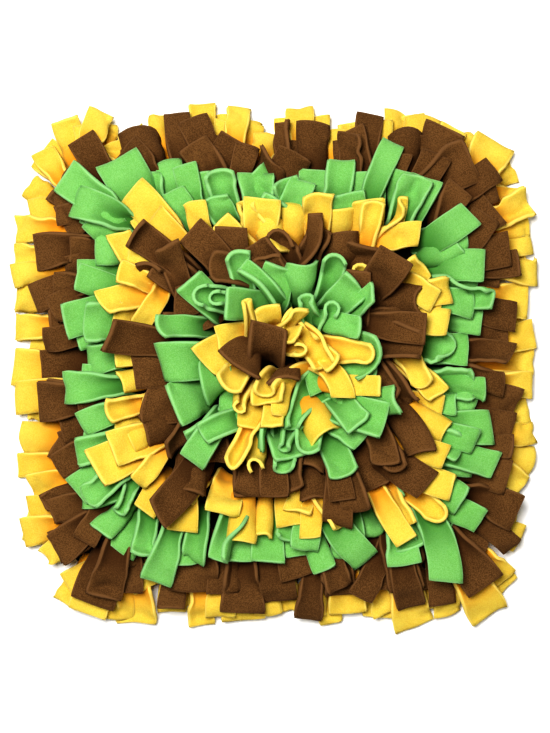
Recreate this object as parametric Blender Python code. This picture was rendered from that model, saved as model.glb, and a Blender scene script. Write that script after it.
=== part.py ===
"""Snuffle mat: a flat square backing that carries eight square rows of fleece strips, row inside row.

Metres, +Z up. The origin is the centre of the backing's underside, which lies on the floor.
The outermost row lies flat on the floor, and each row inside it arches over the one outside it,
so the strips stand up at the centre. Each row is one object: its knots and the strips they hold.
"""

import math
import random

import bmesh
import bpy
from mathutils import Matrix, Vector
from mathutils.bvhtree import BVHTree

SEED = 29

BACKING_HALF = 0.174
BACKING_THICK = 0.003
BACKING_CORNER = 0.020
CORNER_STEPS = 5

BAND_GAP = 0.0003  # between the backing and the knots that stand on it
BAND_WIDTH = 0.012  # the fused line of knots that a row's strips rise from
BAND_THICK = 0.0028
BAND_BOTTOM = BACKING_THICK + BAND_GAP
BAND_CORNER = 0.018
TIGHTEST_CORNER = 0.9  # of a row's half width, for the innermost rows

STRIP_WIDTH = 0.0330
STRIP_THICK = 0.0021
ROOT_Z = BAND_BOTTOM + 0.4 * BAND_THICK
CLEARANCE = 0.0008  # between a strip and the strips laid before it
STAGGER = 0.0060  # how far the upper strips of a row root inside the lower ones
UPPER_LIFT = 0.0034  # how much higher the upper strips lie
STACK_LIFT = 0.0105  # the most that a strip rides up to clear those under it
FAN_SHARE = 0.6  # strips are spaced evenly this far along their reach, so that corners fill
LEVEL_FROM = 0.6  # past this share of its length a strip on the floor lies level
SWAY = 0.0060  # how far a tip bends to one side
REACH_SHARE = (0.90, 1.05)
WIDTH_SHARE = (0.82, 1.12)
NARROWED = 0.35  # how much narrower a strip may get to find room
TRIES = 900
TANGENT_STEP = 0.02

# Each row's square path, the reach and height of its arch, and how freely its strips turn.
ROW_COLUMNS = ("name", "colour", "root", "count", "tip", "crest", "tip_z", "turn", "roll")
ROWS = [
    ("row_1_yellow", "yellow", 0.1650, 60, 0.2200, 0.0115, STRIP_THICK / 2, 13, 0),
    ("row_2_brown", "brown", 0.1415, 56, 0.2050, 0.0225, 0.0150, 16, 12),
    ("row_3_green", "green", 0.1180, 48, 0.1770, 0.0345, 0.0280, 18, 16),
    ("row_4_yellow", "yellow", 0.0945, 42, 0.1490, 0.0460, 0.0410, 20, 20),
    ("row_5_brown", "brown", 0.0710, 36, 0.1240, 0.0550, 0.0530, 22, 26),
    ("row_6_green", "green", 0.0475, 28, 0.0960, 0.0585, 0.0615, 24, 32),
    ("row_7_yellow", "yellow", 0.0250, 18, 0.0650, 0.0580, 0.0680, 26, 38),
    ("row_8_brown", "brown", 0.0085, 8, 0.0340, 0.0570, 0.0710, 30, 40),
]
ROWS = [dict(zip(ROW_COLUMNS, values)) for values in ROWS]
FLOOR_ROW = ROWS[0]
CENTRE_ROW = ROWS[-1]

# One strip from root to tip: gathered in its knot, and opening to its full width.
SECTION_COLUMNS = ("along", "width", "thick")
SECTIONS = [
    (0.00, 0.30, 2.0),
    (0.34, 0.52, 1.4),
    (0.66, 0.96, 1.0),
    (1.00, 1.00, 1.0),
]
SECTIONS = [dict(zip(SECTION_COLUMNS, values)) for values in SECTIONS]
RING = ((-1, -1), (1, -1), (1, 1), (-1, 1))  # a section's corners: across, and through the cloth

# Shares of the reach and of the crest for the four points that steer an arched strip.
ARCH_NEAR = (0.02, 0.75)
ARCH_FAR = (0.30, 1.18)
# Shares of the reach where a strip on the floor leaves the backing and comes down level.
FLOOR_STEP = 0.26
FLOOR_LANDING = 0.62

COLOURS = {
    "yellow": (0.95, 0.62, 0.02, 1),
    "brown": (0.10, 0.038, 0.015, 1),
    "green": (0.13, 0.62, 0.13, 1),
    "felt": (0.022, 0.020, 0.019, 1),
}
FLEECE_ROUGHNESS = 0.95


def clear_scene():
    for obj in list(bpy.data.objects):
        bpy.data.objects.remove(obj, do_unlink=True)


def cloth_material(name):
    material = bpy.data.materials.get(name) or bpy.data.materials.new(name)
    material.use_nodes = True
    shader = material.node_tree.nodes["Principled BSDF"]
    shader.inputs["Base Color"].default_value = COLOURS[name]
    shader.inputs["Roughness"].default_value = FLEECE_ROUGHNESS
    shader.inputs["Metallic"].default_value = 0.0
    return material


def link_mesh(name, mesh):
    obj = bpy.data.objects.new(name, mesh)
    bpy.context.scene.collection.objects.link(obj)
    return obj


def mesh_from(name, bm):
    bmesh.ops.recalc_face_normals(bm, faces=bm.faces)
    mesh = bpy.data.meshes.new(name)
    bm.to_mesh(mesh)
    bm.free()
    return mesh


def direction(angle):
    return Vector((math.cos(angle), math.sin(angle), 0))


def quarter_turn(side):
    return Matrix.Rotation(side * math.pi / 2, 3, "Z")


def square_length(half, corner):
    return 8 * (half - corner) + 2 * math.pi * corner


def square_point(half, corner, distance):
    """The point and the outward angle at a distance along a square path with round corners."""
    straight = 2 * (half - corner)
    side, along = divmod(distance, straight + corner * math.pi / 2)
    if along <= straight:
        point, angle = Vector((half, along - straight / 2, 0)), 0.0
    else:
        angle = (along - straight) / corner
        point = Vector((half - corner, half - corner, 0)) + corner * direction(angle)
    return quarter_turn(side) @ point, angle + side * math.pi / 2


def square_outline(half, corner):
    """The corner points of a round-cornered square, anticlockwise."""
    centre = Vector((half - corner, half - corner, 0))
    bends = [direction(step / CORNER_STEPS * math.pi / 2) for step in range(CORNER_STEPS + 1)]
    return [quarter_turn(side) @ (centre + corner * bend) for side in range(4) for bend in bends]


def build_backing():
    bm = bmesh.new()
    outline = square_outline(BACKING_HALF, BACKING_CORNER)
    sheet = bm.faces.new([bm.verts.new(point) for point in outline])
    grown = bmesh.ops.extrude_face_region(bm, geom=[sheet])
    lifted = [item for item in grown["geom"] if isinstance(item, bmesh.types.BMVert)]
    bmesh.ops.translate(bm, verts=lifted, vec=(0, 0, BACKING_THICK))
    backing = link_mesh("backing", mesh_from("backing", bm))
    backing.data.materials.append(cloth_material("felt"))


def row_corner(row):
    return min(BAND_CORNER, row["root"] * TIGHTEST_CORNER)


def build_band(row):
    """The flat ring of knots under one row. The innermost row's is a plain disc."""
    bm = bmesh.new()
    half_band = BAND_WIDTH / 2
    outer = square_outline(row["root"] + half_band, row_corner(row) + half_band)
    is_disc = row["root"] < BAND_WIDTH
    if is_disc:
        faces = [bm.faces.new([bm.verts.new(point) for point in outer])]
    else:
        inner = square_outline(row["root"] - half_band, row_corner(row) - half_band)
        outer = [bm.verts.new(point) for point in outer]
        inner = [bm.verts.new(point) for point in inner]
        faces = [
            bm.faces.new((outer[i - 1], outer[i], inner[i], inner[i - 1])) for i in range(len(outer))
        ]
    grown = bmesh.ops.extrude_face_region(bm, geom=faces)
    lifted = [item for item in grown["geom"] if isinstance(item, bmesh.types.BMVert)]
    bmesh.ops.translate(bm, verts=lifted, vec=(0, 0, BAND_THICK))
    bmesh.ops.translate(bm, verts=bm.verts, vec=(0, 0, BAND_BOTTOM))
    band = link_mesh(row["name"], mesh_from(row["name"], bm))
    band.data.materials.append(cloth_material(row["colour"]))
    return band


def along_stations(stations, share):
    """A point a share of the way along straight runs of equal share."""
    spans = len(stations) - 1
    index = min(int(share * spans), spans - 1)
    return stations[index].lerp(stations[index + 1], share * spans - index)


def along_arch(points, share):
    left = 1 - share
    weights = (left**3, 3 * left**2 * share, 3 * left * share**2, share**3)
    return sum((weight * point for weight, point in zip(weights, points)), Vector((0, 0)))


def strip_path(row, lift, reach, share):
    """How far out and how high a strip's middle is, at a share of its length."""
    root = Vector((0, ROOT_Z))
    if row is FLOOR_ROW:
        stations = (
            root,
            Vector((FLOOR_STEP * reach, row["crest"])),
            Vector((FLOOR_LANDING * reach, row["tip_z"])),
            Vector((reach, row["tip_z"])),
        )
        raised = lift * min(1.0, 2 * share)
        return along_stations(stations, share) + Vector((0, raised))
    steering = (
        root,
        Vector((ARCH_NEAR[0] * reach, ARCH_NEAR[1] * row["crest"] + lift)),
        Vector((ARCH_FAR[0] * reach, ARCH_FAR[1] * row["crest"] + lift)),
        Vector((reach, row["tip_z"] + lift)),
    )
    return along_arch(steering, share)


def strip_corners(row, root, angle, lie, margin=0.0):
    """The four corners of each of a strip's sections, from root to tip."""
    outward = direction(angle + lie["turn"])
    side = Vector((-outward.y, outward.x, 0))
    reach = (row["tip"] - row["root"]) * lie["reach"]

    def middle(share):
        share = min(max(share, 0.0), 1.0)
        out, up = strip_path(row, lie["lift"], reach, share)
        return root + outward * out + side * lie["sway"] * share**2 + Vector((0, 0, up))

    corners = []
    for section in SECTIONS:
        along = section["along"]
        tangent = (middle(along + TANGENT_STEP) - middle(along - TANGENT_STEP)).normalized()
        across = Matrix.Rotation(lie["roll"] * along, 3, tangent) @ side
        through = tangent.cross(across).normalized()
        across = through.cross(tangent).normalized()
        if along == 0:
            across, through = side, -outward
        elif row is FLOOR_ROW and along > LEVEL_FROM:
            across, through = side, Vector((0, 0, 1))
        across = across * (lie["width"] * section["width"] * STRIP_WIDTH / 2 + margin)
        through = through * (section["thick"] * STRIP_THICK / 2 + margin)
        corners += [middle(along) + across * a + through * b for a, b in RING]
    return corners


def strip_faces(first=0):
    """The faces of a closed four-sided strip whose corners start at an index."""
    sides = len(RING)
    levels = [[first + sides * level + i for i in range(sides)] for level in range(len(SECTIONS))]
    faces = [tuple(reversed(levels[0])), tuple(levels[-1])]
    for low, high in zip(levels, levels[1:]):
        faces += [(low[i - 1], low[i], high[i], high[i - 1]) for i in range(sides)]
    return faces


def extent(points):
    return [(min(p[axis] for p in points), max(p[axis] for p in points)) for axis in range(3)]


def extents_meet(a, b):
    return all(a[axis][0] < b[axis][1] and b[axis][0] < a[axis][1] for axis in range(3))


def draw_lie(row, is_upper, settled, dice):
    """How one strip lies. As settled goes from 0 to 1 it lies straighter and may ride higher."""
    loose = 1 - settled
    longest, shortest = max(REACH_SHARE) - 1, min(REACH_SHARE) - 1
    return {
        "turn": math.radians(row["turn"]) * dice.uniform(-1, 1) * loose,
        "roll": math.radians(row["roll"]) * dice.uniform(-1, 1) * loose,
        "lift": is_upper * UPPER_LIFT + dice.random() * settled * STACK_LIFT,
        "reach": 1 + dice.uniform(shortest, longest) * loose,
        "sway": SWAY * dice.uniform(-1, 1) * loose,
        "width": dice.uniform(*WIDTH_SHARE) * (1 - NARROWED * settled),
    }


def lay_strip(row, index, laid, dice):
    """A strip is turned afresh until it clears all those already laid, or is left out."""
    fan = FAN_SHARE * (row["tip"] - row["root"])
    path = row["root"] + fan, row_corner(row) + fan
    is_upper = index % 2
    point, angle = square_point(*path, square_length(*path) * (index + 0.5) / row["count"])
    root = point - direction(angle) * (fan - STAGGER * (0.5 - is_upper))
    if row is CENTRE_ROW and index == row["count"] - 1:
        angle += math.pi  # this one folds back over the centre
    for attempt in range(TRIES):
        lie = draw_lie(row, is_upper, attempt / TRIES, dice)
        loose_fit = strip_corners(row, root, angle, lie, CLEARANCE)
        reached = extent(loose_fit)
        tree = BVHTree.FromPolygons(loose_fit, strip_faces())
        if not any(extents_meet(reached, other[0]) and tree.overlap(other[1]) for other in laid):
            break
    else:
        return None
    corners = strip_corners(row, root, angle, lie)
    laid.append((extent(corners), BVHTree.FromPolygons(corners, strip_faces())))
    return corners


def lay_rows():
    """The corners of every strip by row, laid from the outermost row inwards, lower strips first."""
    dice = random.Random(SEED)
    laid = []
    strips = {}
    for row in ROWS:
        order = [*range(0, row["count"], 2), *range(1, row["count"], 2)]
        tried = [lay_strip(row, index, laid, dice) for index in order]
        strips[row["name"]] = [corners for corners in tried if corners]
    return strips


def fuse_strips(band, strips):
    """Joins a row's strips to its knots. The strips touch nothing else."""
    bm = bmesh.new()
    for corners in strips:
        verts = [bm.verts.new(point) for point in corners]
        for face in strip_faces():
            bm.faces.new([verts[i] for i in face])
    strips_object = link_mesh(band.name + "_strips", mesh_from(band.name + "_strips", bm))
    strips_object.hide_render = True
    strips_object.display_type = "WIRE"
    union = band.modifiers.new("strips", "BOOLEAN")
    union.operation = "UNION"
    union.solver = "EXACT"
    union.object = strips_object


def main():
    clear_scene()
    build_backing()
    strips = lay_rows()
    for row in ROWS:
        fuse_strips(build_band(row), strips[row["name"]])


main()
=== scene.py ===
import math
import random
import time

import bpy
import numpy as np
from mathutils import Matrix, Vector
from mathutils.bvhtree import BVHTree


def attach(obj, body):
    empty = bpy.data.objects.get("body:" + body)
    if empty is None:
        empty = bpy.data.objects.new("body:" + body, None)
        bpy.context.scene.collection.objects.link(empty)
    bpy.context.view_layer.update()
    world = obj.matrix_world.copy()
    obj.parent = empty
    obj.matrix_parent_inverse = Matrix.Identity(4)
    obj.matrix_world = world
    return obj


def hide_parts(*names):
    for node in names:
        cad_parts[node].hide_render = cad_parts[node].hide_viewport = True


# A snuffle mat: rows of fleece strips knotted through a square backing, row inside row.
# Everything is in metres. The mat lies on the floor with the centre of its underside at the origin.

startTime = time.time()


def say(stage):
    print("snuffle mat: %s (%.0f s)" % (stage, time.time() - startTime))


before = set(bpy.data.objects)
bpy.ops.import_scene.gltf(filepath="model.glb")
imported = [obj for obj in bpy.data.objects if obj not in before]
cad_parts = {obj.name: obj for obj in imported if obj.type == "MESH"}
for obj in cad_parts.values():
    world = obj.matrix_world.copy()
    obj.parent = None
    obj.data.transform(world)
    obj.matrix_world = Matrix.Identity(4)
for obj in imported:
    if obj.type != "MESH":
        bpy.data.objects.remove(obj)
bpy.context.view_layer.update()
bpy.ops.object.select_all(action="DESELECT")
scene = bpy.context.scene
say("frame loaded")

# ---- camera, straight above the mat

camera = {
    "height": 1.70,
    "across": 0.628,  # what the taller side of the picture takes in on the floor
    "centre": (0.000, -0.001),
    "sensor": 36,
    "farthest": 20,
}

bpy.ops.object.camera_add(location=(*camera["centre"], camera["height"]), rotation=(0, 0, 0))
eye = bpy.context.object
eye.name = "camera"
eye.data.sensor_width = camera["sensor"]
eye.data.lens = camera["sensor"] * camera["height"] / camera["across"]
eye.data.clip_end = camera["farthest"]
scene.camera = eye

# ---- one plain strip, cut square, with its root gathered as in a knot

strip = {
    "width": 0.0290,
    "across": 4,  # faces across
    "along": 12,  # faces along
    "knot": 0.45,  # share of the width that is left in the knot
    "gather": 0.36,  # share of the length that the knot draws in
    "thick": 0.0031,
    "cornerCrease": 0.95,
    "cutCrease": 0.55,
    "rootHeight": 0.0044,
    "clear": 0.24,  # share of the length past which a strip is clear of its knot
}


def makePlainStrip():
    bpy.ops.mesh.primitive_grid_add(
        x_subdivisions=strip["across"], y_subdivisions=strip["along"], size=1, location=(0, 0.5, 0)
    )
    plain = bpy.context.object
    plain.name = "plain_strip"
    plain.scale = (strip["width"], 1, 1)
    bpy.ops.object.transform_apply(location=True, rotation=True, scale=True)
    bpy.ops.object.mode_set(mode="EDIT")
    bpy.ops.mesh.select_all(action="DESELECT")
    bpy.ops.object.mode_set(mode="OBJECT")
    for vert in plain.data.vertices:
        vert.select = vert.co.y < 0.001
    bpy.ops.object.mode_set(mode="EDIT")
    bpy.ops.transform.resize(
        value=(strip["knot"], 1, 1), center_override=(0, 0, 0), use_proportional_edit=True,
        proportional_edit_falloff="SMOOTH", proportional_size=strip["gather"],
    )
    bpy.ops.object.mode_set(mode="OBJECT")
    plain.data.attributes.new("tone", "FLOAT", "POINT")
    plain.data.attributes.new("row", "INT", "POINT")
    crease = plain.data.attributes.new("crease_vert", "FLOAT", "POINT")
    for vert in plain.data.vertices:
        if vert.co.y > 0.999 and abs(vert.co.x) > 0.49 * strip["width"]:
            crease.data[vert.index].value = strip["cornerCrease"]  # the end is cut square
    return plain


plainStrip = makePlainStrip()
plainCorners = np.array([vert.co[:] for vert in plainStrip.data.vertices])
plainFaces = [tuple(face.vertices) for face in plainStrip.data.polygons]
outerFaces = [face for face in plainFaces if min(plainCorners[list(face), 1]) > strip["clear"]]
cornerStation = np.rint(plainCorners[:, 1] * strip["along"]).astype(int)
cornerOrder = np.lexsort((plainCorners[:, 0], cornerStation))
cornerOrder = cornerOrder.reshape(strip["along"] + 1, strip["across"] + 1)
say("plain strip: %d points" % len(plainCorners))

# ---- the rows, from the rim inwards

# Root and tip are how far the knots and the ends lie from the middle, crest and tipHeight how high the
# strips stand, fill how many lie under those that show, turn and roll degrees, rise the share of a form's
# bends that a row takes, hold how firmly the ends keep their place as they settle, and seen and narrow how
# high the ends lie and how much slimmer they are than they look.
rowColumns = (
    "name", "cloth", "root", "corner", "fill", "tip", "crest", "tipHeight", "turn", "roll", "rise", "hold",
    "seen", "narrow",
)
rows = [
    ("row_1_yellow", "yellow", 0.1650, 0.018, 28, 0.2130, 0.0110, 0.0014, 14, 4, 0.25, 0.62, 0.0015, 1.0),
    ("row_2_brown", "brown", 0.1415, 0.018, 22, 0.1950, 0.0205, 0.0130, 18, 14, 0.45, 0.60, 0.015, 1.0),
    ("row_3_green", "green", 0.1180, 0.018, 24, 0.1680, 0.0310, 0.0245, 12, 18, 0.7, 0.66, 0.027, 0.94),
    ("row_4_yellow", "yellow", 0.0945, 0.018, 10, 0.1410, 0.0410, 0.0360, 24, 24, 0.9, 0.72, 0.039, 0.87),
    ("row_5_brown", "brown", 0.0710, 0.018, 12, 0.1160, 0.0460, 0.0460, 26, 26, 1.0, 0.78, 0.051, 0.93),
    ("row_6_green", "green", 0.0475, 0.018, 8, 0.0890, 0.0480, 0.0530, 28, 28, 1.0, 0.86, 0.060, 0.92),
    ("row_7_yellow", "yellow", 0.0250, 0.018, 0, 0.0600, 0.0480, 0.0590, 30, 30, 1.0, 0.90, 0.067, 0.88),
    ("row_8_brown", "brown", 0.0085, 0.00765, 0, 0.0340, 0.0500, 0.0640, 20, 10, 1.0, 0.94, 0.076, 1.0),
]
rows = [dict(zip(rowColumns, values)) for values in rows]

# How a strip lies, in degrees: cup bends its width up (or down), fold creases it lengthwise,
# wave and curl bend its length, twist turns it on edge, and rise is how steeply its end stands up.
# Spread is how much wider it is when flat than it looks.
formColumns = ("form", "cup", "fold", "wave", "curl", "twist", "rise", "spread")
forms = [
    ("flat", 0, 0, 12, 6, 0, 14, 1.0),
    ("arch", -130, 0, 6, 0, 0, 25, 1.08),
    ("hollow", 150, 0, 4, 8, 6, 36, 1.15),
    ("cup", 210, 0, 0, 6, 4, 50, 1.2),
    ("hood", -190, 0, 0, 4, 4, 48, 1.2),
    ("tube", 290, 0, 0, 10, 8, 46, 1.5),
    ("fold", 10, 140, 4, 6, 8, 35, 1.35),
    ("wave", 20, 0, 48, 0, 6, 20, 1.0),
    ("lip", 30, 0, 0, 95, 0, 5, 1.0),
    ("roll", 10, 0, 0, -130, 0, 15, 1.0),
    ("edge", 60, 0, 14, 0, 60, 40, 1.05),
    ("loop", 300, 0, 0, 10, 0, 66, 1.25),
]
forms = {values[0]: dict(zip(formColumns, values)) for values in forms}
fillForms = {"flat": 6, "arch": 2, "hollow": 2, "wave": 1}

# The strips that show, row by row. Each was placed one by one: where its end lies and how wide it looks, in
# points of the camera's picture of 550 x 733, its heading in degrees, its form, and how far it stands over
# the others, in millimetres. Later ones lie on earlier ones.
placedColumns = ("x", "y", "heading", "width", "form", "lift")
placed = {
    "row_1_yellow": [
        (65, 115, 105, 30, "flat", 0), (90, 124, 100, 26, "flat", 0), (106, 112, 66, 28, "flat", 3),
        (45, 152, 120, 26, "flat", 0), (27, 184, 145, 28, "flat", 0), (32, 212, 185, 30, "flat", 0),
        (17, 231, 180, 30, "flat", 1), (15, 258, 180, 32, "flat", 0), (17, 279, 184, 24, "flat", 2),
        (19, 300, 180, 28, "flat", 0), (14, 325, 179, 30, "flat", 2), (14, 366, 178, 38, "flat", 1),
        (13, 398, 186, 34, "flat", 0), (22, 442, 180, 36, "arch", 2), (18, 464, 183, 26, "flat", 0),
        (34, 485, 192, 28, "flat", 2), (28, 508, 184, 30, "flat", 0), (25, 532, 192, 30, "flat", 1),
        (41, 553, 222, 26, "flat", 0), (71, 588, 205, 38, "flat", 0), (92, 610, 252, 40, "flat", 0),
        (136, 622, 268, 42, "flat", 1), (150, 592, 300, 30, "flat", 4), (203, 624, 275, 28, "wave", 1),
        (243, 619, 270, 44, "flat", 0), (287, 610, 272, 26, "flat", 0), (332, 624, 282, 26, "flat", 1),
        (352, 614, 275, 40, "flat", 0), (385, 612, 290, 26, "flat", 1), (415, 626, 284, 42, "flat", 2),
        (446, 614, 278, 28, "flat", 0), (490, 612, 305, 42, "flat", 1), (508, 574, 318, 26, "flat", 0),
        (522, 542, 345, 30, "flat", 1), (538, 460, 355, 32, "arch", 2), (522, 485, 322, 26, "flat", 0),
        (534, 432, 4, 26, "flat", 2), (528, 410, 10, 28, "flat", 0), (533, 362, 2, 28, "flat", 1),
        (530, 388, 350, 28, "flat", 0), (528, 337, 12, 30, "flat", 0), (529, 305, 0, 38, "flat", 2),
        (535, 270, 0, 30, "flat", 1), (530, 240, 8, 34, "flat", 0), (525, 200, 32, 32, "hollow", 2),
        (517, 170, 15, 28, "flat", 0), (493, 147, 62, 44, "flat", 1), (397, 112, 85, 26, "flat", 0),
        (422, 119, 76, 38, "arch", 1), (338, 133, 80, 28, "flat", 1), (298, 108, 95, 30, "flat", 0),
        (316, 116, 88, 22, "flat", 0), (203, 104, 95, 28, "flat", 0), (225, 118, 85, 28, "flat", 2),
        (240, 112, 84, 26, "flat", 1), (252, 118, 90, 24, "flat", 0), (270, 132, 80, 26, "flat", 2),
        (130, 129, 110, 30, "flat", 0), (159, 114, 100, 26, "flat", 0), (180, 116, 92, 28, "flat", 0),
        (358, 122, 84, 28, "flat", 0), (375, 124, 88, 28, "flat", 0), (452, 128, 70, 30, "flat", 0),
        (530, 222, 12, 26, "flat", 0), (172, 612, 268, 30, "flat", 0), (222, 616, 270, 30, "flat", 0),
        (310, 612, 268, 28, "flat", 0), (118, 138, 108, 30, "flat", 0), (268, 616, 272, 28, "flat", 0),
        (120, 618, 262, 28, "flat", 0),
    ],
    "row_2_brown": [
        (80, 140, 121, 30, "flat", 2), (138, 127, 110, 44, "arch", 2), (128, 148, 132, 34, "flat", 5),
        (176, 112, 98, 27, "flat", 4), (190, 118, 115, 32, "flat", 6), (190, 139, 130, 34, "flat", 9),
        (233, 138, 59, 30, "flat", 7), (246, 150, 70, 24, "flat", 9), (51, 192, 145, 22, "flat", 2),
        (62, 222, 188, 36, "flat", 5), (56, 212, 182, 30, "flat", 1), (39, 252, 183, 38, "flat", 3),
        (66, 254, 182, 26, "flat", 10), (70, 270, 200, 24, "flat", 5), (38, 296, 207, 32, "flat", 2),
        (50, 288, 185, 30, "flat", 7), (50, 311, 208, 32, "flat", 5), (42, 337, 186, 26, "flat", 2),
        (40, 364, 182, 30, "flat", 5), (40, 400, 183, 42, "flat", 3), (72, 398, 190, 42, "flat", 20),
        (63, 450, 195, 36, "flat", 0), (55, 470, 215, 28, "flat", 4), (41, 508, 205, 20, "flat", 3),
        (53, 512, 200, 28, "flat", 5), (55, 547, 215, 36, "flat", 2), (90, 538, 235, 26, "flat", 5),
        (116, 566, 245, 36, "arch", 6), (100, 592, 255, 36, "flat", 5), (93, 603, 252, 46, "flat", 1),
        (173, 608, 262, 28, "flat", 1), (198, 593, 265, 48, "flat", 6), (243, 612, 270, 46, "flat", 2),
        (277, 602, 280, 36, "flat", 5), (308, 618, 262, 29, "flat", 3), (330, 590, 276, 28, "hollow", 3),
        (342, 592, 288, 28, "hollow", 6), (372, 592, 268, 34, "flat", 3), (356, 594, 236, 26, "flat", 6),
        (404, 592, 278, 36, "flat", 6), (414, 607, 292, 30, "flat", 2), (441, 602, 273, 28, "flat", 3),
        (482, 586, 306, 42, "flat", 4), (510, 550, 318, 24, "flat", 5), (521, 515, 336, 38, "flat", 4),
        (509, 472, 355, 36, "flat", 2), (509, 445, 0, 24, "flat", 5), (521, 403, 350, 34, "flat", 4),
        (500, 385, 340, 26, "flat", 8), (509, 338, 357, 28, "flat", 5), (512, 317, 350, 30, "flat", 3),
        (518, 267, 5, 28, "flat", 2), (509, 243, 14, 36, "flat", 5), (496, 209, 32, 40, "flat", 4),
        (497, 169, 40, 29, "flat", 1), (474, 160, 28, 48, "flat", 6), (442, 129, 68, 44, "flat", 2),
        (408, 128, 87, 42, "arch", 4), (441, 153, 62, 32, "flat", 9), (371, 114, 82, 28, "flat", 2),
        (352, 133, 110, 28, "flat", 5), (350, 137, 95, 28, "edge", 8), (317, 121, 86, 34, "arch", 3),
        (287, 121, 90, 28, "edge", 3), (300, 150, 62, 36, "flat", 9), (440, 180, 70, 24, "flat", 12),
        (462, 184, 52, 30, "flat", 10), (488, 216, 58, 30, "flat", 8), (404, 155, 80, 24, "flat", 8),
        (262, 158, 120, 30, "edge", 6), (62, 425, 188, 32, "flat", 1), (296, 578, 272, 34, "flat", 1),
        (222, 592, 266, 34, "flat", 1), (512, 425, 350, 28, "flat", 0), (506, 360, 352, 30, "edge", 2),
    ],
    "row_3_green": [
        (69, 173, 139, 40, "flat", 2), (74, 201, 160, 36, "flat", 8), (121, 162, 122, 48, "flat", 3),
        (168, 160, 98, 30, "flat", 3), (189, 165, 105, 26, "flat", 1), (217, 170, 112, 38, "hollow", 5),
        (252, 170, 125, 36, "arch", 5), (176, 193, 118, 26, "flat", 6), (208, 193, 108, 30, "hollow", 7),
        (97, 216, 143, 38, "flat", 6), (95, 250, 188, 34, "flat", 3), (81, 272, 168, 30, "lip", 4),
        (69, 320, 192, 38, "flat", 1), (82, 322, 182, 46, "hollow", 6), (89, 360, 184, 36, "roll", 7),
        (69, 386, 188, 36, "flat", 0), (82, 420, 200, 28, "flat", 4), (80, 450, 190, 36, "hollow", 3),
        (76, 493, 215, 36, "flat", 4), (90, 506, 228, 34, "hollow", 6), (99, 530, 222, 28, "flat", 4),
        (115, 514, 232, 26, "tube", 9), (143, 556, 262, 30, "lip", 6), (157, 581, 254, 36, "flat", 2),
        (192, 554, 268, 28, "roll", 8), (228, 561, 258, 34, "fold", 5), (268, 563, 272, 36, "wave", 5),
        (286, 544, 270, 32, "hollow", 8), (321, 568, 295, 26, "flat", 3), (366, 556, 312, 34, "flat", 5),
        (410, 500, 300, 44, "loop", 12), (442, 577, 272, 36, "flat", 6), (412, 548, 285, 36, "flat", 2),
        (482, 521, 335, 30, "flat", 4), (464, 497, 330, 36, "flat", 8), (496, 465, 345, 32, "flat", 4),
        (492, 428, 358, 38, "flat", 6), (458, 448, 330, 32, "hollow", 8), (472, 437, 350, 28, "wave", 6),
        (475, 383, 0, 36, "flat", 8), (485, 390, 344, 26, "flat", 3), (456, 402, 352, 26, "flat", 5),
        (456, 345, 352, 44, "tube", 10), (482, 322, 356, 28, "flat", 4), (490, 291, 357, 30, "fold", 4),
        (484, 263, 3, 36, "flat", 5), (459, 238, 22, 34, "arch", 9), (471, 216, 36, 32, "flat", 5),
        (420, 177, 66, 34, "hollow", 6), (402, 172, 80, 26, "flat", 4), (395, 141, 66, 26, "flat", 6),
        (346, 162, 86, 30, "hollow", 5), (350, 196, 92, 38, "wave", 10), (277, 176, 120, 34, "hollow", 4),
        (300, 182, 60, 30, "wave", 6), (262, 212, 250, 36, "hollow", 12), (476, 305, 350, 30, "flat", 1),
        (300, 550, 270, 32, "flat", 0), (376, 536, 288, 30, "flat", 2),
    ],
    "row_4_yellow": [
        (128, 194, 134, 42, "flat", 3), (191, 196, 98, 27, "flat", 5), (216, 226, 136, 28, "flat", 8),
        (119, 227, 112, 30, "flat", 2), (130, 248, 170, 34, "hollow", 4), (115, 272, 158, 28, "flat", 4),
        (103, 309, 190, 34, "edge", 3), (143, 325, 235, 26, "flat", 9), (118, 352, 184, 34, "flat", 1),
        (120, 380, 186, 32, "arch", 2), (102, 406, 196, 30, "hollow", 5), (138, 402, 190, 28, "tube", 9),
        (91, 466, 206, 48, "flat", 3), (112, 452, 200, 42, "flat", 6), (126, 436, 192, 36, "arch", 9),
        (136, 483, 228, 26, "flat", 8), (140, 509, 238, 30, "flat", 2), (222, 514, 262, 42, "wave", 6),
        (238, 541, 264, 34, "arch", 8), (265, 534, 266, 26, "arch", 8), (296, 511, 252, 32, "flat", 4),
        (310, 538, 266, 26, "flat", 2), (337, 526, 300, 28, "edge", 8), (407, 541, 305, 28, "flat", 6),
        (453, 489, 340, 34, "flat", 6), (445, 515, 322, 30, "hollow", 3), (448, 458, 346, 30, "flat", 3),
        (443, 430, 328, 36, "arch", 8), (440, 394, 312, 28, "flat", 6), (424, 386, 285, 30, "hollow", 12),
        (446, 327, 2, 32, "flat", 2), (452, 293, 5, 34, "flat", 6), (431, 303, 332, 30, "flat", 9),
        (424, 262, 44, 36, "hollow", 8), (419, 233, 352, 30, "flat", 6), (376, 203, 86, 26, "hollow", 8),
        (394, 196, 86, 24, "fold", 4), (366, 258, 80, 48, "loop", 16), (342, 213, 92, 46, "hood", 8),
        (262, 217, 100, 40, "arch", 6), (266, 235, 110, 34, "loop", 14), (318, 194, 86, 36, "wave", 6),
        (244, 198, 110, 36, "tube", 6), (300, 206, 95, 36, "arch", 6), (150, 214, 130, 34, "flat", 5),
        (421, 340, 0, 30, "edge", 4), (180, 502, 250, 26, "edge", 4),
    ],
    "row_5_brown": [
        (171, 241, 104, 28, "flat", 4), (190, 232, 137, 35, "flat", 8), (206, 272, 184, 40, "hollow", 2),
        (136, 234, 154, 34, "lip", 3), (252, 243, 125, 32, "hollow", 4), (262, 252, 118, 34, "wave", 5),
        (276, 228, 98, 46, "cup", 4), (304, 212, 88, 30, "fold", 6), (336, 229, 90, 44, "hood", 8),
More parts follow.
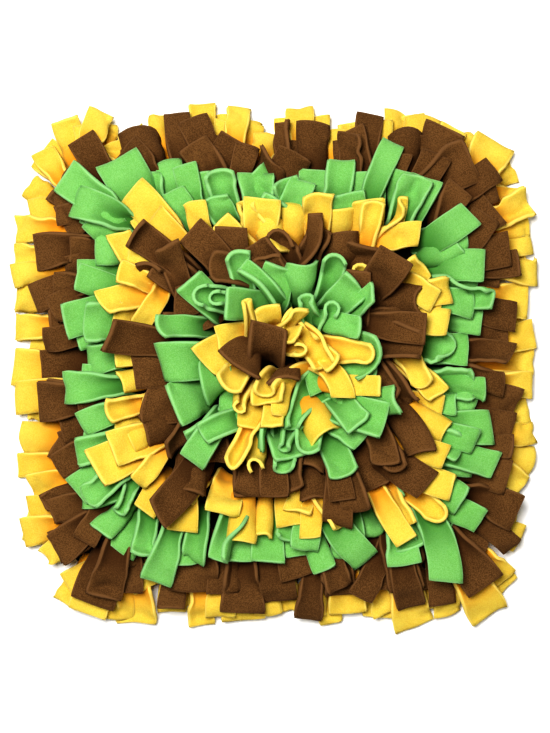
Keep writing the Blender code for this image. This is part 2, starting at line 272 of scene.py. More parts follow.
        (392, 250, 62, 42, "wave", 7), (414, 300, 350, 40, "hood", 11), (423, 328, 357, 34, "flat", 10),
        (424, 346, 350, 40, "tube", 4), (413, 405, 300, 32, "hollow", 6), (391, 395, 275, 24, "edge", 4),
        (416, 455, 278, 32, "arch", 9), (391, 473, 276, 30, "hollow", 7), (384, 462, 265, 30, "hollow", 4),
        (428, 486, 327, 36, "flat", 3), (309, 468, 254, 36, "hood", 5), (295, 490, 270, 26, "edge", 3),
        (333, 517, 268, 32, "roll", 5), (362, 509, 286, 32, "wave", 7), (251, 494, 266, 42, "arch", 8),
        (192, 496, 262, 40, "arch", 6), (154, 512, 222, 36, "flat", 4), (216, 463, 256, 30, "hollow", 4),
        (145, 425, 200, 38, "hood", 7), (165, 452, 225, 26, "edge", 5), (129, 366, 182, 42, "flat", 7),
        (112, 331, 166, 36, "flat", 4), (280, 500, 268, 34, "flat", 2), (352, 273, 96, 30, "flat", 3),
        (150, 265, 160, 30, "edge", 1), (345, 500, 280, 28, "flat", 2), (160, 330, 178, 28, "flat", 1),
        (178, 318, 186, 34, "flat", 0), (174, 303, 190, 36, "flat", 2),
    ],
    "row_6_green": [
        (230, 420, 250, 28, "flat", 1), (325, 390, 300, 34, "flat", 2), (350, 402, 322, 30, "flat", 3),
        (188, 296, 205, 34, "cup", 3), (203, 297, 196, 34, "cup", 7), (228, 300, 186, 36, "flat", 10),
        (238, 247, 100, 28, "hollow", 3), (235, 269, 140, 24, "fold", 14), (309, 264, 84, 42, "hood", 7),
        (306, 292, 100, 42, "loop", 12), (333, 303, 75, 44, "loop", 15), (341, 257, 85, 30, "cup", 5),
        (374, 290, 48, 24, "edge", 9), (363, 328, 0, 26, "flat", 9), (381, 360, 341, 56, "cup", 9),
        (390, 402, 5, 32, "arch", 6), (386, 420, 338, 40, "hollow", 7), (360, 428, 312, 30, "hollow", 8),
        (267, 452, 270, 24, "fold", 11), (281, 475, 262, 36, "loop", 0), (281, 457, 258, 38, "loop", 4),
        (284, 434, 262, 40, "loop", 9), (304, 450, 266, 32, "cup", 5), (347, 478, 292, 32, "hollow", 5),
        (170, 404, 207, 50, "flat", 7), (214, 398, 300, 36, "roll", 7), (161, 325, 180, 28, "lip", 5),
        (162, 356, 183, 44, "roll", 9), (187, 460, 245, 32, "wave", 7), (198, 434, 216, 30, "hollow", 8),
    ],
    "row_7_yellow": [
        (380, 382, 2, 24, "flat", 0), (203, 366, 222, 42, "flat", 3), (215, 340, 196, 30, "flat", 5),
        (250, 430, 265, 30, "flat", 2), (347, 397, 216, 28, "flat", 3), (273, 430, 266, 28, "flat", 4),
        (228, 465, 250, 26, "fold", 4), (222, 386, 232, 36, "hollow", 3), (245, 299, 100, 24, "tube", 8),
        (262, 309, 96, 32, "wave", 4), (285, 316, 110, 28, "edge", 6), (300, 330, 30, 24, "edge", 8),
        (250, 458, 268, 34, "hood", 7), (237, 416, 252, 32, "tube", 7), (294, 417, 264, 28, "fold", 8),
        (322, 434, 296, 52, "hood", 6), (298, 304, 50, 30, "edge", 9), (318, 345, 300, 34, "hollow", 8),
        (339, 368, 284, 24, "edge", 7), (332, 366, 291, 32, "tube", 9), (305, 350, 330, 34, "loop", 12),
        (372, 357, 342, 34, "cup", 5), (272, 404, 274, 38, "hollow", 3), (268, 398, 268, 46, "cup", 6),
    ],
    "row_8_brown": [
        (266, 320, 84, 48, "hollow", 1), (281, 376, 266, 34, "arch", 3), (239, 362, 240, 48, "flat", 10),
    ],
}

picture = {
    "centre": (275, 365),  # the middle of the mat
    "point": 0.000857,  # metres on the floor
    "widths": (17, 50),  # the slimmest and the widest that a strip is cut, in millimetres
    "lift": 0.7,  # the share of its lift that a strip is given, because the pile holds it up as well
}


def realPlace(row, values):
    # the place of a strip in whole millimetres; what stands nearer the camera looks larger
    look = dict(zip(placedColumns, values))
    near = 1 - (row["seen"] + look["lift"] / 1000) / camera["height"]
    scale = picture["point"] * near * 1000
    width = round(look["width"] * row["narrow"] * picture["point"] * 1000 * forms[look["form"]]["spread"])
    slimmest, widest = picture["widths"]
    return {
        "x": round((look["x"] - picture["centre"][0]) * scale),
        "y": round((picture["centre"][1] - look["y"]) * scale),
        "heading": look["heading"],
        "width": max(slimmest, min(widest, width)),
        "form": look["form"],
        "lift": round(look["lift"] * picture["lift"]),
    }


laying = {
    "seed": 41,
    "fan": 0.6,  # fill strips are spaced evenly this far along their reach, so that corners fill
    "stack": 0.0100,  # the most that a strip rides up over those under it
    "sway": 12,  # degrees
    "skew": 8,  # degrees that an end may be cut askew
    "ripple": 0.0008,
    "reach": (0.86, 1.04),
    "top": 0.074,
    "over": 0.010,  # nothing stands more than this above the top
    "clear": 0.0002,  # from the floor
    "tries": 30,
}

# what makes strips of one form differ: most pairs are ranges that are drawn from
varied = {
    "widths": (0.90, 1.15),
    "cup": (0.85, 1.15),
    "cupMore": (-60, 60),  # degrees, most of it where the rows stand up
    "gather": (110, 210),  # degrees that the knot bends a strip across its width
    "opensFrom": (0.10, 0.40),  # the shares of its length between which a strip opens out
    "opensTo": (0.90, 1.25),
    "fold": (0.8, 1.1),
    "creaseAt": (-0.25, 0.25),  # share of half the width
    "wave": (0.7, 1.2),
    "waves": (1.0, 1.7),
    "curl": (0.7, 1.1),
    "bow": (-60, 45),  # degrees more of curl
    "twist": (0.85, 1.1),
    "rise": (0.8, 1.2),
    "ripples": 3,
    "rippleAlong": (6, 22),
    "rippleAcross": (-5, 5),
    "rippleStart": (0, 6.3),
    "kept": 0.3,  # the share of its form that a strip keeps in its last try
}

# how a strip whose end is given may move to clear the others
placing = {
    "giveForm": 0.2,  # the share of its form that it may lose
    "giveTip": 0.004,
    "giveTurn": 8,  # degrees
    "roll": 0.8,  # share of the row's
    "turnLimit": 58,  # degrees either way
    "inner": 0.3,  # a strip near the middle starts at this share of its way out
    "shortest": 0.012,
}

# the rise of a strip from its knot to its end: shares of its reach and of the row's crest
rising = {
    "near": (0.02, 0.75),
    "far": (0.30, 1.18),
    "steep": 25,  # degrees of a form's rise at which the end is as steep as it gets
    "back": (0.55, 0.012),  # how far back the steep end starts: share of the reach, and metres
    "low": 0.3,  # the least height of that start, as a share of the end's
    "steps": 65,
}

# the shares of a strip's length over which each of its bends comes in
bends = {
    "free": (0.25, 1.0),
    "curl": (0.60, 1.05),
    "twist": (0.2, 0.95),
    "fold": (0.25, 0.85),
    "skew": (0.7, 1.0),
    "flattest": 0.01,  # the least curve across, so that nothing is divided by nought
}

pileMap = {
    "dense": 4,  # points to each face of a strip, along and across
    "cell": 0.002,
    "half": 120,  # cells from the middle to a side
    "gap": 0.0036,  # between the middles of two strips
    "climb": 0.006,  # the most that a strip climbs over others
    "middle": (3, 14),  # of its 17 points across, those that lie on others
    "from": 0.3,  # share of a strip's length where it starts to lie on others
    "press": 0.010,  # the most that a strip is pressed down by a later one
    "pressFrom": 5,  # the step of its length from which a strip presses on others
    "bearFrom": 12,  # the dense step of its length from which a strip bears others
}


def squareLength(half, corner):
    return 8 * (half - corner) + 2 * math.pi * corner


def squarePoint(half, corner, distance):
    # the point and the outward angle at a distance along a square with round corners
    straight = 2 * (half - corner)
    side, along = divmod(distance, straight + corner * math.pi / 2)
    if along <= straight:
        x, y, angle = half, along - straight / 2, 0.0
    else:
        angle = (along - straight) / corner
        x = half - corner + corner * math.cos(angle)
        y = half - corner + corner * math.sin(angle)
    turn = side * math.pi / 2
    c, s = math.cos(turn), math.sin(turn)
    return (c * x - s * y, s * x + c * y), angle + turn


def smooth(low, high, values):
    share = np.clip((np.asarray(values, float) - low) / (high - low), 0, 1)
    return share * share * (3 - 2 * share)


def ringPoint(row, x, y):
    # the nearest point of the row of knots
    across, along, middle = abs(x), abs(y), row["root"] - row["corner"]
    if across > middle and along > middle:
        away = math.hypot(across - middle, along - middle)
        across = middle + (across - middle) * row["corner"] / away
        along = middle + (along - middle) * row["corner"] / away
    elif across > along:
        across = row["root"]
    else:
        along = row["root"]
    return math.copysign(across, x), math.copysign(along, y)


def archPitch(row, reach, lift, rise):
    # how steeply a strip rises or falls at each step of its length, and how long it is
    top = row["tipHeight"] + lift
    near, far = ((out * reach, up * row["crest"] + lift) for out, up in (rising["near"], rising["far"]))
    if rise:
        share = min(1.0, math.degrees(rise) / rising["steep"])
        back = rising["back"][0] * reach + rising["back"][1]
        steep = (reach - back * math.cos(rise), max(rising["low"] * top, top - back * math.sin(rise)))
        far = tuple(far[i] * (1 - share) + steep[i] * share for i in (0, 1))
    points = np.array([(0.0, strip["rootHeight"]), near, far, (reach, top)])
    t = np.linspace(0, 1, rising["steps"])[:, None]
    path = (1 - t) ** 3 * points[0] + 3 * (1 - t) ** 2 * t * points[1]
    path = path + 3 * (1 - t) * t**2 * points[2] + t**3 * points[3]
    steps = np.diff(path, axis=0)
    lengths = np.hypot(*steps.T)
    at = (np.cumsum(lengths) - lengths / 2) / lengths.sum()
    pitch = np.unwrap(np.arctan2(steps[:, 1], steps[:, 0]))
    middles = (np.arange(strip["along"]) + 0.5) / strip["along"]
    return np.interp(middles, at, pitch), lengths.sum()


def alongStrip(pitch, heading):
    # the directions of the steps of a strip
    return np.stack([np.cos(pitch) * np.cos(heading), np.cos(pitch) * np.sin(heading), np.sin(pitch)], axis=1)


def stripPoints(row, lie):
    # where each point of a strip goes: its middle line is walked step by step, then its width laid across
    count = strip["along"]
    middles = (np.arange(count) + 0.5) / count
    stations = np.arange(count + 1) / count
    pitch, length = archPitch(row, lie["reach"], lie["lift"], row["rise"] * math.radians(lie["rise"]))
    free = smooth(*bends["free"], middles)
    pitch = pitch + math.radians(lie["curl"]) * smooth(*bends["curl"], middles)
    turns = 2 * math.pi * (lie["waves"] * middles + lie["phase"])
    pitch = pitch + math.radians(lie["wave"]) * free * np.sin(turns)
    heading = lie["start"] + lie["bend"] * middles + math.radians(lie["sway"]) * free
    line = np.vstack([np.zeros(3), np.cumsum(alongStrip(pitch, heading) * length / count, axis=0)])
    line += (*lie["root"], strip["rootHeight"])
    if lie["tip"]:
        line[:, :2] += stations[:, None] * (np.array(lie["tip"]) - line[-1, :2])
    pitch = np.interp(stations, middles, pitch)
    heading = np.interp(stations, middles, heading)
    tangent = alongStrip(pitch, heading)
    side = np.stack([-np.sin(heading), np.cos(heading), np.zeros(count + 1)], axis=1)
    normal = np.cross(tangent, side)
    roll = lie["roll"] * stations + math.radians(lie["twist"]) * smooth(*bends["twist"], stations)
    roll = roll[:, None]
    across = np.cos(roll) * side + np.sin(roll) * normal
    through = np.cos(roll) * normal - np.sin(roll) * side
    station = cornerStation
    x = plainCorners[:, 0] * lie["width"]
    half = strip["width"] * lie["width"] / 2
    # the knot gathers the strip, which opens out towards its end
    gathered = 1 - smooth(*lie["opens"], stations)
    cup = np.radians(lie["cup"] * (1 - gathered) + lie["gather"] * gathered)
    bend = cup[station] / (2 * half)
    bend = np.where(np.abs(bend) < bends["flattest"], bends["flattest"], bend)
    out = np.sin(bend * x) / bend
    up = (1 - np.cos(bend * x)) / bend
    crease = lie["creaseAt"] * half
    fold = math.radians(lie["fold"]) * smooth(*bends["fold"], stations)[station]
    past = np.maximum(x - crease, 0)
    out = out + past * (np.cos(fold) - 1)
    up = up + past * np.sin(fold)
    on = x * math.tan(math.radians(lie["skew"])) * smooth(*bends["skew"], stations)[station]
    for along, sideways, phase in lie["ripples"]:
        ripple = along * plainCorners[:, 1] + sideways * plainCorners[:, 0] / strip["width"] + phase
        up = up + laying["ripple"] * np.sin(ripple)
    points = line[station] + across[station] * out[:, None] + through[station] * up[:, None]
    return points + tangent[station] * on[:, None]


def capHeight(points):
    points[:, 2] = np.maximum(points[:, 2], strip["thick"] / 2 + laying["clear"])
    over = np.maximum(points[:, 2] - laying["top"], 0)
    points[:, 2] -= over - over / (1 + over / laying["over"])
    return points


def drawLie(row, form, loose, dice):
    # how a strip lies, before it is given its place; a looser one is bent and turned more
    facing = dice.choice((-1, 1))
    bowed = 1 if form["cup"] > 0 else -1 if form["cup"] < 0 else facing
    free = row["rise"] ** 0.5
    kept = varied["kept"] + (1 - varied["kept"]) * loose
    rippleRanges = [varied[name] for name in ("rippleAlong", "rippleAcross", "rippleStart")]
    return {
        "width": dice.uniform(*varied["widths"]),
        "skew": laying["skew"] * dice.uniform(-1, 1),
        "cup": form["cup"] * dice.uniform(*varied["cup"]) * kept + free * dice.uniform(*varied["cupMore"]),
        "gather": bowed * dice.uniform(*varied["gather"]),
        "opens": (dice.uniform(*varied["opensFrom"]), dice.uniform(*varied["opensTo"])),
        "fold": form["fold"] * dice.uniform(*varied["fold"]) * kept,
        "creaseAt": dice.uniform(*varied["creaseAt"]),
        "wave": form["wave"] * dice.uniform(*varied["wave"]) * kept,
        "waves": dice.uniform(*varied["waves"]),
        "phase": dice.random(),
        "curl": form["curl"] * dice.uniform(*varied["curl"]) * kept + free * dice.uniform(*varied["bow"]),
        "twist": form["twist"] * facing * dice.uniform(*varied["twist"]) * kept,
        "rise": form["rise"] * dice.uniform(*varied["rise"]) * kept,
        "ripples": [[dice.uniform(*span) for span in rippleRanges] for ripple in range(varied["ripples"])],
        "bend": 0.0,
        "sway": 0.0,
        "tip": None,
    }


def fillLie(row, index, form, attempt, dice):
    # fill strips are spread evenly round the row, under those that show
    loose = 1 - attempt / laying["tries"]
    fan = laying["fan"] * (row["tip"] - row["root"])
    path = row["root"] + fan, row["corner"] + fan
    point, angle = squarePoint(*path, squareLength(*path) * (index + 0.5) / row["fill"])
    lie = drawLie(row, form, loose, dice)
    lie["root"] = point[0] - math.cos(angle) * fan, point[1] - math.sin(angle) * fan
    lie["start"] = angle + math.radians(row["turn"]) * dice.uniform(-1, 1) * loose
    lie["roll"] = math.radians(row["roll"]) * dice.uniform(-1, 1) * loose
    lie["sway"] = laying["sway"] * dice.uniform(-1, 1) * loose
    lie["lift"] = dice.random() * (1 - loose) * laying["stack"]
    lie["reach"] = (row["tip"] - row["root"]) * dice.uniform(*laying["reach"])
    return lie


def placedLie(row, values, attempt, dice):
    # a strip whose end is given: it starts from the nearest knot and turns evenly towards its end
    share = attempt / laying["tries"]
    place = realPlace(row, values)
    lie = drawLie(row, forms[place["form"]], 1 - placing["giveForm"] * share, dice)
    give = placing["giveTip"] * min(1, 2 * share)
    tip = [place[axis] / 1000 + give * dice.uniform(-1, 1) for axis in ("x", "y")]
    heading = math.radians(place["heading"] + placing["giveTurn"] * share * dice.uniform(-1, 1))
    long = row["tip"] - row["root"]
    start = tip[0] - long * math.cos(heading), tip[1] - long * math.sin(heading)
    if start[0] * tip[0] + start[1] * tip[1] < 0:  # a strip near the middle doesn't cross it
        start = placing["inner"] * tip[0], placing["inner"] * tip[1]
    root = ringPoint(row, *start)
    over = tip[0] - root[0], tip[1] - root[1]
    chord = max(math.hypot(*over), placing["shortest"])
    toTip = math.atan2(over[1], over[0])
    limit = math.radians(placing["turnLimit"])
    turn = (heading - toTip + math.pi) % (2 * math.pi) - math.pi
    turn = max(-limit, min(limit, turn))
    lie["width"] = place["width"] / 1000 / strip["width"]
    lie["root"], lie["tip"] = root, tip
    lie["start"], lie["bend"] = toTip - turn, 2 * turn
    lie["roll"] = math.radians(row["roll"]) * dice.uniform(-placing["roll"], placing["roll"])
    lie["lift"] = place["lift"] / 1000 + share * laying["stack"]
    lie["reach"] = chord * (turn / math.sin(turn) if abs(turn) > 0.01 else 1)
    return lie


def densePoints(points):
    # a strip's points with more between each two, along and across
    grid, dense = points[cornerOrder], pileMap["dense"]
    for axis in (0, 1):
        count = grid.shape[axis]
        at = np.arange(dense * (count - 1) + 1) / dense
        low = np.minimum(at.astype(int), count - 2)
        share = (at - low).reshape((-1, 1, 1) if axis == 0 else (1, -1, 1))
        grid = np.take(grid, low, axis) * (1 - share) + np.take(grid, low + 1, axis) * share
    return grid


def heightCells(points):
    cells = np.rint(points[..., :2] / pileMap["cell"]).astype(int) + pileMap["half"]
    return tuple(np.clip(cells, 0, 2 * pileMap["half"])[..., axis] for axis in (0, 1))


def raiseStrip(points, heights):
    # a strip is raised along its length to lie on those below it
    dense = densePoints(points)[:, slice(*pileMap["middle"])]
    need = heights[heightCells(dense)] + pileMap["gap"] - dense[..., 2]
    need = np.clip(need, 0, pileMap["climb"]).max(axis=1)
    need[: int(pileMap["dense"] * pileMap["from"] * strip["along"])] = 0
    need = np.append(need, [0] * (pileMap["dense"] - 1)).reshape(-1, pileMap["dense"]).max(axis=1)
    padded = np.append(np.append(need[0], need), need[-1])
    need = (padded[:-2] + 2 * need + padded[2:]) / 4
    raised = points.copy()
    raised[:, 2] += need[cornerStation]
    return raised


def measured(points):
    tree = BVHTree.FromPolygons(points.tolist(), outerFaces)
    return {"points": points, "low": points.min(axis=0), "high": points.max(axis=0), "tree": tree}


def boxesMeet(one, other, axes):
    below = np.all(one["low"][:axes] < other["high"][:axes])
    return below and np.all(other["low"][:axes] < one["high"][:axes])


def pressDown(other, points):
    # what would stand through the new strip is pressed down under it
    dense = densePoints(points)[pileMap["dense"] * pileMap["pressFrom"] :]
    under = np.full((2 * pileMap["half"] + 1,) * 2, np.inf)
    np.minimum.at(under, heightCells(dense), dense[..., 2])
    lower = under[heightCells(other["points"])] - pileMap["gap"]
    over = other["points"][:, 2] - lower
    pressed = (over > 0) & (over < pileMap["press"]) & (plainCorners[:, 1] > pileMap["from"])
    over = np.where(pressed, over, 0)
    if over.any():
        lowest = strip["thick"] / 2 + laying["clear"]
        other["points"][:, 2] = np.maximum(other["points"][:, 2] - over, lowest)
        other.update(measured(other["points"]))


def layStrip(row, nextLie, laid, heights):
    # of a number of tries, the first that crosses no other strip, or else the one that crosses least
    best = None
    for attempt in range(laying["tries"]):
        new = measured(capHeight(raiseStrip(stripPoints(row, nextLie(attempt)), heights)))
        crossed = []
        for other in laid:
            if boxesMeet(new, other, 3):
                crossed += [(mine, theirs, other) for mine, theirs in new["tree"].overlap(other["tree"])]
        if best is None or len(crossed) < len(best[0]):
            best = crossed, new
        if not crossed:
            break
    crossed, new = best
    new.update(row=row, crossing=set())
    for mine, theirs, other in crossed:
        new["crossing"].update(outerFaces[mine])
        other["crossing"].update(outerFaces[theirs])
    for other in laid:
        if boxesMeet(new, other, 2):
            pressDown(other, new["points"])
    laid.append(new)
    dense = densePoints(new["points"])[pileMap["bearFrom"] :, slice(*pileMap["middle"])]
    np.maximum.at(heights, heightCells(dense), dense[..., 2])


def layRows():
    laid = []
    heights = np.zeros((2 * pileMap["half"] + 1,) * 2)
    for row in rows:
        for index in range(row["fill"] + len(placed[row["name"]])):
            # each strip has draws of its own, so that a change to one leaves the rest as they are
            dice = random.Random("%s %d %d" % (row["name"], index, laying["seed"]))
            if index < row["fill"]:
                form = forms[dice.choices(list(fillForms), list(fillForms.values()))[0]]
                layStrip(row, lambda attempt: fillLie(row, index, form, attempt, dice), laid, heights)
            else:
                values = placed[row["name"]][index - row["fill"]]
                layStrip(row, lambda attempt: placedLie(row, values, attempt, dice), laid, heights)
            laid[-1]["tone"] = dice.uniform(-1, 1)
    crossing = sum(bool(one["crossing"]) for one in laid)
    say("%d strips laid, %d of them across another" % (len(laid), crossing))
    return laid


# shares of a strip's length, from its knot: where it is held fully, over how much more the hold is
# lost, and up to where it passes through other strips
knot = {"held": 0.10, "freed": 0.20, "passing": 0.26}


def selectOnly(thing):
    bpy.ops.object.select_all(action="DESELECT")
    thing.select_set(True)
    bpy.context.view_layer.objects.active = thing


def joinPile(pile):
    # each strip is a copy of the plain one with its own mesh; a slot for each row keeps the rows apart later
    bpy.ops.object.select_all(action="DESELECT")
    slots = [bpy.data.materials.new("slot_" + row["name"]) for row in rows]
    for one in pile:
        row, points, tone = one["row"], one["points"], one["tone"]
        mesh = plainStrip.data.copy()
        mesh.materials.clear()
        mesh.materials.append(slots[rows.index(row)])
        mesh.vertices.foreach_set("co", points.astype(np.float32).ravel())
        mesh.attributes["tone"].data.foreach_set("value", [tone] * len(mesh.vertices))
        mesh.attributes["row"].data.foreach_set("value", [rows.index(row)] * len(mesh.vertices))
        copy = bpy.data.objects.new("strip", mesh)
        scene.collection.objects.link(copy)
        copy.select_set(True)
        held = copy.vertex_groups.new(name="held")
        for at, corner in enumerate(plainCorners):
            root = 1.0 - min(1.0, max(0.0, (corner[1] - knot["held"]) / knot["freed"]))
            held.add([at], max(root, row["hold"]), "REPLACE")
        passing = copy.vertex_groups.new(name="passing")  # the knots and crossings push nothing away
        near = [at for at, corner in enumerate(plainCorners) if corner[1] < knot["passing"]]
        passing.add(sorted(one["crossing"] | set(near)), 1.0, "REPLACE")
        bpy.context.view_layer.objects.active = copy
    bpy.ops.object.join()
    joined = bpy.context.object
    joined.name = "pile"
    return joined


# ---- the strips settle on each other, the backing and the floor

settling = {
    "frames": 14,
    "floor": (0.6, 0.0),  # width and height of what the strips rest on
    "backing": (0.348, 0.0030),
    "thickness": 0.0012,
    "friction": 20,
}
clothSettings = {
    "quality": 6,
    "mass": 0.02,
    "air_damping": 2,
    "tension_stiffness": 25,
    "compression_stiffness": 25,
    "shear_stiffness": 12.5,
    "bending_stiffness": 2.0,
    "tension_damping": 10,
    "bending_damping": 1,
    "vertex_group_mass": "held",
    "pin_stiffness": 1.0,
}
clothCollisions = {
    "collision_quality": 2,
    "distance_min": 0.0012,
    "use_self_collision": True,
    "self_distance_min": 0.0032,
    "self_friction": 8,
    "vertex_group_self_collisions": "passing",
}


def addResting(name, size, height):
    bpy.ops.mesh.primitive_plane_add(size=size, location=(0, 0, height))
    resting = bpy.context.object
    resting.name = name
    resting.modifiers.new("resting", "COLLISION")
    resting.collision.thickness_outer = settling["thickness"]
    resting.collision.cloth_friction = settling["friction"]
    return resting


def settle(pile):
    rests = [addResting("resting_" + name, *settling[name]) for name in ("floor", "backing")]
    selectOnly(pile)
    cloth = pile.modifiers.new("cloth", "CLOTH")
    for part, values in ((cloth.settings, clothSettings), (cloth.collision_settings, clothCollisions)):
        for name, value in values.items():
            setattr(part, name, value)
    cloth.point_cache.frame_start = 1
    cloth.point_cache.frame_end = settling["frames"]
    for number in range(1, settling["frames"] + 1):
        scene.frame_set(number)
    bpy.ops.object.modifier_apply(modifier=cloth.name)
    for resting in rests:
        bpy.data.objects.remove(resting, do_unlink=True)
    scene.frame_set(1)


pile = joinPile(layRows())
say("pile joined: %d points" % len(pile.data.vertices))
settle(pile)
say("pile settled")

# ---- finish of the cloths, with the shade painted near the knots

# colours of the cloth, of its darker mottle, of its cut edges and of the painted shade near the knots,
# where it comes out from under other strips; glow is the light it lets through, and nap the share of its fine
# grain in its colour
fleece = {
    "yellow": {
        "colour": (0.74, 0.57, 0.098),
        "deep": (0.65, 0.44, 0.055),
        "cut": (0.88, 0.68, 0.17),
        # root: the colour of the painted shade near the knots
        "root": (0.72, 0.30, 0.020),
        "glow": 0.08,
        "nap": 0.45,
    },
    "brown": {
        "colour": (0.168, 0.083, 0.028),
        "deep": (0.082, 0.038, 0.012),
        # root: the colour of the painted shade near the knots
        "cut": (0.20, 0.102, 0.040),
        "root": (0.060, 0.024, 0.007),
        "glow": 0.0,
        "nap": 0.65,
    },
    "green": {
        "colour": (0.225, 0.49, 0.150),
        "deep": (0.160, 0.40, 0.095),
        "cut": (0.31, 0.58, 0.25),
        # root: the colour of the painted shade near the knots
        "root": (0.060, 0.20, 0.035),
        "glow": 0.05,
        "nap": 0.6,
    },
}

surface = {
    "nap": (1200, 2, 0.6),  # scale, detail and roughness of a noise
    "patches": (60, 2, 0.5),
    "lumps": (260, 2, 0.5),
    "napRange": (0.35, 0.65),
    "tone": 0.12,  # how much the strips differ
    "depthRange": (0.15, 0.85),
    "rootShadeRange": (0.85, 0.35),  # painted shade towards the knots, over these shares of the length; in the next two, shares of the width and the length
    "sideCut": (0.90, 1.0),
    "endCut": (0.972, 1.0),
    "cut": 0.75,
    "napRelief": 0.7,
    "lumpRelief": 0.6,
    "bump": (0.6, 0.0011),
}
felt = {
    "fibre": (700, 4, 0.65),
    "range": (0.3, 0.7),
    "deep": (0.012, 0.011, 0.010),
    "colour": (0.030, 0.027, 0.025),
    "bump": (0.4, 0.0006),
}


class NodeTable:
    def __init__(self, name):
        self.material = bpy.data.materials.new(name)
        self.material.use_nodes = True
        self.tree = self.material.node_tree
        self.shader = self.tree.nodes["Principled BSDF"]

    def add(self, kind, **values):
        node = self.tree.nodes.new(kind)
        for key, value in values.items():
            setattr(node, key, value)
        return node

    def wire(self, start, end):
        self.tree.links.new(start, end)

    def give(self, node, values):
        for socket, value in values.items():
            node.inputs[socket].default_value = value

    def noise(self, vector, scale, detail, rough):
        node = self.add("ShaderNodeTexNoise")
        self.give(node, {"Scale": scale, "Detail": detail, "Roughness": rough})
        self.wire(vector, node.inputs["Vector"])
        return node.outputs["Fac"]

    def ramp(self, value, low, high):
        # nought at low, one at high
        node = self.add("ShaderNodeMapRange", interpolation_type="SMOOTHSTEP")
        self.wire(value, node.inputs["Value"])
        self.give(node, {"From Min": low, "From Max": high, "To Min": 0.0, "To Max": 1.0})
        return node.outputs["Result"]

    def bump(self, height, strength, distance):
        node = self.add("ShaderNodeBump")
        self.give(node, {"Strength": strength, "Distance": distance})
        self.wire(height, node.inputs["Height"])
        self.wire(node.outputs["Normal"], self.shader.inputs["Normal"])

    def maths(self, operation, first, second):
        node = self.add("ShaderNodeMath", operation=operation)
        for socket, value in zip(node.inputs, (first, second)):
            if isinstance(value, (int, float)):
                socket.default_value = value
            else:
                self.wire(value, socket)
        return node.outputs[0]

    def mix(self, share, first, second):
        node = self.add("ShaderNodeMix", data_type="RGBA")
        self.wire(share, node.inputs["Factor"])
        for name, value in (("A", first), ("B", second)):
            socket = [s for s in node.inputs if s.name == name and s.type == "RGBA"][0]
            if isinstance(value, tuple):
                socket.default_value = (*value, 1)
            else:
                self.wire(value, socket)
        return [s for s in node.outputs if s.type == "RGBA"][0]


def makeFleece(name, look):
    t = NodeTable("fleece_" + name)
    place = t.add("ShaderNodeTexCoord").outputs["Object"]
    uv = t.add("ShaderNodeUVMap", uv_map="UVMap").outputs["UV"]
    tone = t.add("ShaderNodeAttribute", attribute_name="tone").outputs["Fac"]
    nap = t.noise(place, *surface["nap"])
    patches = t.noise(place, *surface["patches"])
    split = t.add("ShaderNodeSeparateXYZ")
    t.wire(uv, split.inputs[0])
    across, along = split.outputs["X"], split.outputs["Y"]
    fromMiddle = t.maths("ABSOLUTE", t.maths("SUBTRACT", across, 0.5), 0.0)
    fromMiddle = t.maths("MULTIPLY", fromMiddle, 2.0)
    cut = t.maths("MAXIMUM", t.ramp(fromMiddle, *surface["sideCut"]), t.ramp(along, *surface["endCut"]))
    fine = t.maths("MULTIPLY", t.ramp(nap, *surface["napRange"]), look["nap"])
    depth = t.maths("ADD", fine, t.maths("MULTIPLY", patches, 1 - look["nap"]))
    depth = t.maths("ADD", depth, t.maths("MULTIPLY", tone, surface["tone"]))
    body = t.mix(t.ramp(depth, *surface["depthRange"]), look["deep"], look["colour"])
    # painted shade: the colour darkens towards the knot end of each strip
    body = t.mix(t.ramp(along, *surface["rootShadeRange"]), body, look["root"])
    edged = t.mix(t.maths("MULTIPLY", cut, surface["cut"]), body, look["cut"])
    t.wire(edged, t.shader.inputs["Base Color"])
    lumps = t.maths("MULTIPLY", t.noise(place, *surface["lumps"]), surface["lumpRelief"])
    relief = t.maths("ADD", t.maths("MULTIPLY", nap, surface["napRelief"]), lumps)
    t.bump(relief, *surface["bump"])
    t.give(t.shader, {
        "Roughness": 0.95,
        "Specular IOR Level": 0.12,
        "Sheen Weight": 0.25,
        "Sheen Roughness": 0.5,
        "Sheen Tint": (*look["cut"], 1),
        "Subsurface Weight": look["glow"],
        "Subsurface Radius": (1.0, 0.5, 0.1),
        "Subsurface Scale": 0.004,
    })
    return t.material


def makeFelt():
    t = NodeTable("felt_backing")
    place = t.add("ShaderNodeTexCoord").outputs["Object"]
    fibre = t.noise(place, *felt["fibre"])
    body = t.mix(t.ramp(fibre, *felt["range"]), felt["deep"], felt["colour"])
    t.wire(body, t.shader.inputs["Base Color"])
    t.bump(fibre, *felt["bump"])
    t.give(t.shader, {"Roughness": 0.95, "Specular IOR Level": 0.1})
    return t.material


cloths = {name: makeFleece(name, look) for name, look in fleece.items()}
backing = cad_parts["backing"]
backing.data.materials.clear()
backing.data.materials.append(makeFelt())

# ---- the pile is parted into its rows, and each row gets its thickness


def partRows(pile):
    selectOnly(pile)
    bpy.ops.object.mode_set(mode="EDIT")
    bpy.ops.mesh.select_all(action="SELECT")
    bpy.ops.mesh.separate(type="MATERIAL")
    bpy.ops.object.mode_set(mode="OBJECT")
    parted = {}
    for piece in list(bpy.context.selected_objects):
        parted[piece.data.attributes["row"].data[0].value] = piece
    return parted


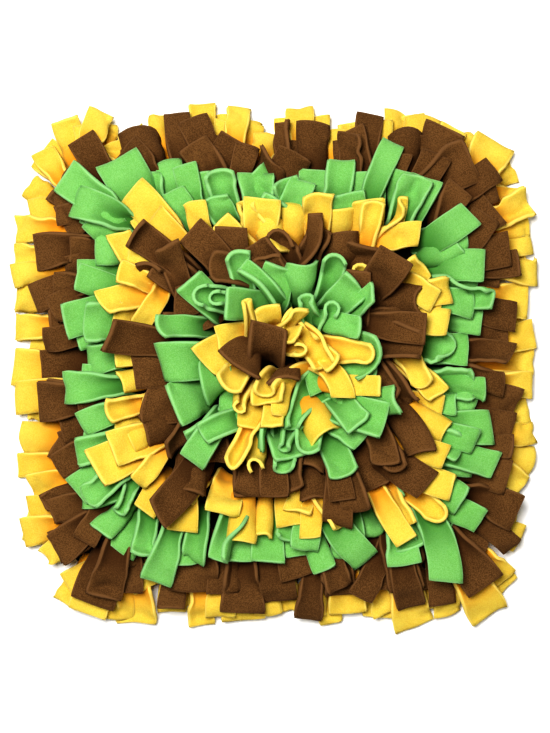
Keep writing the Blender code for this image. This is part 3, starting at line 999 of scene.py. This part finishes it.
def finishRow(row, piece):
    piece.name = "strips_" + row["name"]
    piece.data.materials.clear()
    piece.data.materials.append(cloths[row["cloth"]])
    for face in piece.data.polygons:
        face.material_index = 0
    selectOnly(piece)
    thick = piece.modifiers.new("thick", "SOLIDIFY")
    thick.thickness = strip["thick"]
    thick.offset = 0
    thick.edge_crease_inner = thick.edge_crease_outer = strip["cutCrease"]
    bpy.ops.object.modifier_apply(modifier=thick.name)
    soft = piece.modifiers.new("soft", "SUBSURF")
    soft.levels = soft.render_levels = 1
    bpy.ops.object.modifier_apply(modifier=soft.name)
    bpy.ops.object.shade_smooth()
    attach(piece, "root")
    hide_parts(row["name"])
    return piece


parted = partRows(pile)
for row in rows:
    finishRow(row, parted[rows.index(row)])
bpy.data.objects.remove(plainStrip, do_unlink=True)
say("rows finished")

# ---- floor and light

studio = {
    "floor": 0.95,  # how pale it is
    "across": 8,
    "under": 0.0004,  # how far the floor lies under the mat
    "world": 0.09,
}
lights = [  # name, power, size and place
    ("light_above", 60, 1.1, (-0.45, 0.5, 2.2)),
    ("light_side", 5, 1.2, (1.4, -0.8, 1.5)),
]


def makeFloor():
    bpy.ops.mesh.primitive_plane_add(size=studio["across"], location=(0, 0, -studio["under"]))
    floor = bpy.context.object
    floor.name = "floor"
    t = NodeTable("pale_floor")
    t.give(t.shader, {"Base Color": (studio["floor"],) * 3 + (1,), "Roughness": 0.9})
    floor.data.materials.append(t.material)


def addSoftLight(name, power, size, place):
    bpy.ops.object.light_add(type="AREA", location=place)
    light = bpy.context.object
    light.name = name
    light.data.shape = "DISK"
    light.data.size = size
    light.data.energy = power
    light.rotation_euler = (Vector((0, 0, 0)) - Vector(place)).to_track_quat("-Z", "Y").to_euler()


makeFloor()
for light in lights:
    addSoftLight(*light)
scene.world = scene.world or bpy.data.worlds.new("studio")
scene.world.use_nodes = True
background = scene.world.node_tree.nodes["Background"]
background.inputs["Color"].default_value = (1, 1, 1, 1)
background.inputs["Strength"].default_value = studio["world"]
scene.view_settings.view_transform = "Standard"
scene.view_settings.look = "High Contrast"

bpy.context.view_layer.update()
say("done")
